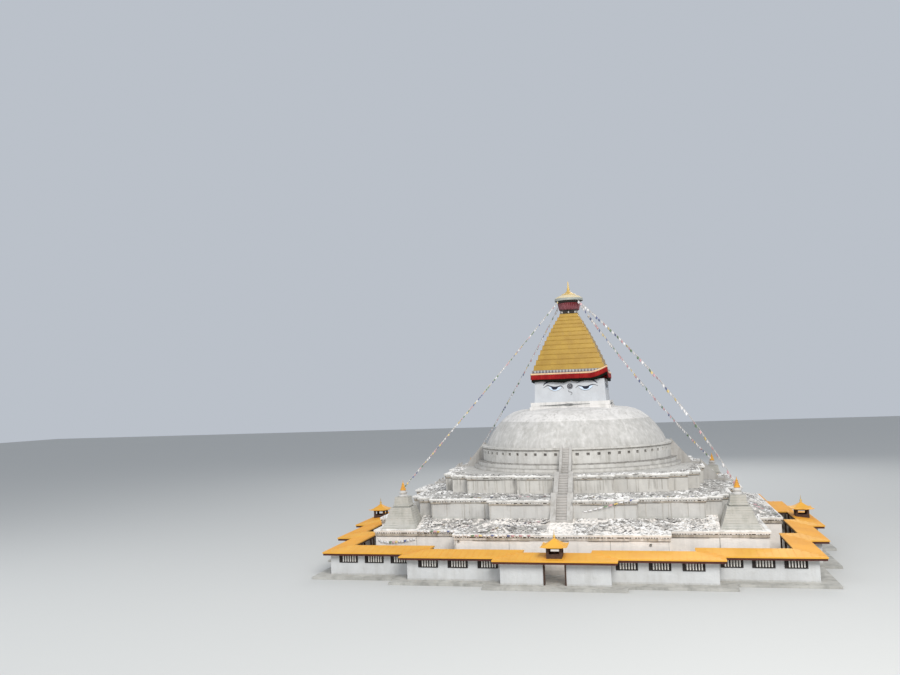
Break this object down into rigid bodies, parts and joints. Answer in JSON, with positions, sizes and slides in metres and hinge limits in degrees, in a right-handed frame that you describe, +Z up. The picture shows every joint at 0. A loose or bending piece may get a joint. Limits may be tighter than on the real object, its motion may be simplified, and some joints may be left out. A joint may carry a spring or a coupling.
{
  "type": "scale model of a stupa",
  "caption": "Half-size model of a whitewashed domed stupa on stepped terraces, with a tiered golden spire, small corner stupas, stairs and a low roofed gallery with gates.",
  "frame": {"origin": "middle of the square base, at ground level", "axes": "+Z up, the front stair and gate face -Y, +X to the right of someone who faces the front"},
  "size_m": [26.21, 26.21, 15],
  "materials": {
    "limewash": "limewashed masonry, weathered with grey streaks",
    "concrete": "bare grey cement slab",
    "gold": "gilt sheet, dulled",
    "roof_yellow": "painted sheet, matt",
    "red": "red cloth and painted board",
    "cream": "painted plaster",
    "dark_wood": "dark stained timber",
    "parasol": "weathered metal rim",
    "cloth": "thin cord with cloth flags"
  },
  "bodies": {
    "root": {"gallery_plinth": "concrete", "gallery_arcade_front": "dark_wood", "gallery_arcade_right": "dark_wood", "gallery_arcade_rear": "dark_wood", "gallery_arcade_left": "dark_wood", "gallery_wall_front": "limewash", "gallery_wall_right": "limewash", "gallery_wall_rear": "limewash", "gallery_wall_left": "limewash", "gallery_roof_front": "roof_yellow", "gallery_roof_right": "roof_yellow", "gallery_roof_rear": "roof_yellow", "gallery_roof_left": "roof_yellow", "gate_lantern_front": "dark_wood", "gate_lantern_right": "dark_wood", "gate_lantern_rear": "dark_wood", "gate_lantern_left": "dark_wood", "gate_roof_front": "roof_yellow", "gate_roof_right": "roof_yellow", "gate_roof_rear": "roof_yellow", "gate_roof_left": "roof_yellow", "stair_front": "limewash", "stair_right": "limewash", "stair_rear": "limewash", "stair_left": "limewash", "lower_terrace": "limewash", "middle_terrace": "limewash", "upper_terrace": "limewash", "corner_stupa_front_left": "limewash", "corner_stupa_front_right": "limewash", "corner_stupa_rear_right": "limewash", "corner_stupa_rear_left": "limewash", "corner_spire_front_left": "gold", "corner_spire_front_right": "gold", "corner_spire_rear_right": "gold", "corner_spire_rear_left": "gold", "ring_steps": "limewash", "niche_drum": "limewash", "dome": "limewash", "harmika": "limewash", "valance": "red", "block_frieze": "cream", "golden_spire": "gold", "spire_neck": "dark_wood", "red_drum": "red", "parasol": "parasol", "finial": "gold", "flag_line_front_left": "cloth", "flag_line_front_right": "cloth", "flag_line_rear_right": "cloth", "flag_line_rear_left": "cloth"}
  },
  "joints": []
}
